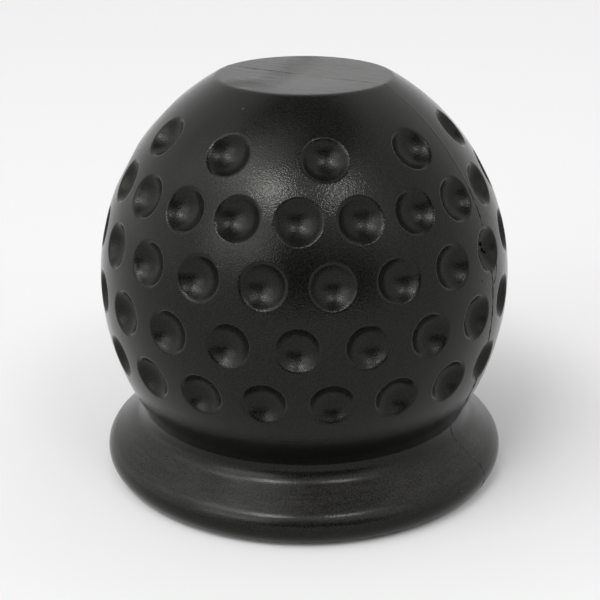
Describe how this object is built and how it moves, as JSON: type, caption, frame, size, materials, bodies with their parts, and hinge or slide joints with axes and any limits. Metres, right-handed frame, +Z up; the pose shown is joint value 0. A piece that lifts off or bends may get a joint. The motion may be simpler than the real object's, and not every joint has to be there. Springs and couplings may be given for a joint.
{
  "type": "tow ball cover",
  "caption": "Slip-on rubber cover for a tow ball: a dimpled ball with a flat crown, a narrow neck that snaps under the tow ball, and a flared foot with a round rim.",
  "frame": {"origin": "centre of the foot's flat base, where the cover stands", "axes": "+Z up the cover's axis, from the foot to the crown; the mould's parting line lies in the XZ plane"},
  "size_m": [0.0602, 0.0602, 0.0595],
  "materials": {
    "black_rubber": "moulded black rubber, satin, with a fine pebbled skin"
  },
  "bodies": {
    "root": {"tow_ball_cover": "black_rubber"}
  },
  "joints": []
}
